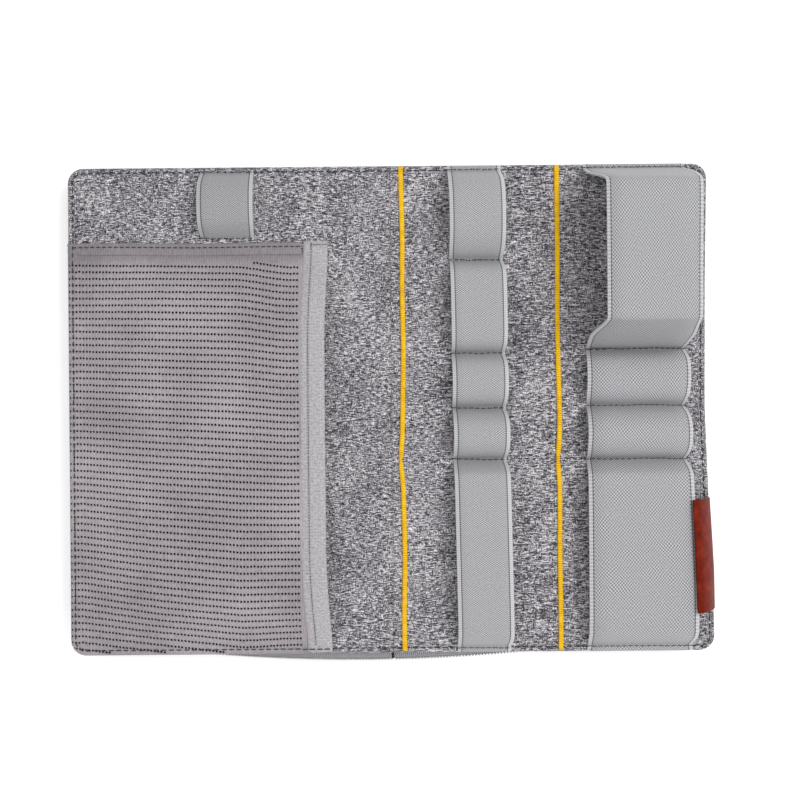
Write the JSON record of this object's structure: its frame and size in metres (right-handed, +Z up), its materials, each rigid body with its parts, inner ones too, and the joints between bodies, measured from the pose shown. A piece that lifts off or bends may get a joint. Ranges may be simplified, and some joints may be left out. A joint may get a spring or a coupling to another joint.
{
  "type": "cable organizer pouch",
  "caption": "Flat padded travel pouch with a zipped compartment, faced with elastic loops, a mesh pocket and yellow-bound slip pockets for cables and small electronics.",
  "frame": {"origin": "centre of the back panel's underside, where the pouch lies on a table", "axes": "+X along the long edges, towards the leather tab; +Y away from the zip; +Z up, out of the organizer face"},
  "size_m": [0.2889, 0.2242, 0.0496],
  "materials": {
    "heather_cloth": "heather grey melange weave, matt",
    "padding": "soft foam",
    "stiffener": "thin flexible sheet",
    "lining": "plain smooth lining",
    "yellow_binding": "folded yellow tape",
    "mesh_cloth": "perforated knit mesh, matt",
    "grosgrain_tape": "fine ribbed tape",
    "elastic_webbing": "ribbed light grey elastic",
    "brown_leather": "smooth rust brown",
    "zip_tape": "woven tape",
    "zip_coil": "nylon coil",
    "zip_metal": "dark satin plating"
  },
  "bodies": {
    "back_shell": {"back_panel": "heather_cloth", "back_foam": "padding", "back_lining": "lining", "zip_tape_back": "zip_tape", "zip_coil_back": "zip_coil", "zip_bottom_stop": "zip_metal", "zip_top_stop_back": "zip_metal", "zip_end_tab_left": "heather_cloth", "zip_end_tab_right": "heather_cloth"},
    "front_organizer": {"front_panel": "heather_cloth", "front_foam": "padding", "front_board": "stiffener", "front_lining": "lining", "zip_tape_front": "zip_tape", "zip_coil_front": "zip_coil", "zip_top_stop_front": "zip_metal", "slip_pocket_wide": "heather_cloth", "slip_pocket_narrow": "heather_cloth", "slip_binding_wide": "yellow_binding", "slip_binding_narrow": "yellow_binding", "mesh_pocket": "mesh_cloth", "mesh_top_hem": "mesh_cloth", "mesh_edge_tape": "grosgrain_tape", "cable_loop_left": "elastic_webbing", "narrow_elastic_band": "elastic_webbing", "wide_elastic_band": "elastic_webbing", "leather_end_tab": "brown_leather"},
    "zip_slider": {"zip_slider_body": "zip_metal", "zip_bail": "zip_metal"},
    "zip_pull_tab": {"zip_pull": "zip_metal"}
  },
  "joints": [
    {"name": "mouth_open", "type": "hinge", "parent": "back_shell", "child": "front_organizer", "pos_m": [0, 0.11, 0.007], "axis": [-1, 0, 0], "range_deg": [0, 9]},
    {"name": "slider_travel", "type": "hinge", "parent": "back_shell", "child": "zip_slider", "pos_m": [-0.012, 0.667, 0.007], "axis": [0, 0, -1], "range_deg": [0, 17.55]},
    {"name": "pull_swing", "type": "hinge", "parent": "zip_slider", "child": "zip_pull_tab", "pos_m": [0.11959, -0.10537, 0.007], "axis": [0, 0, 1], "range_deg": [0, 165]}
  ]
}
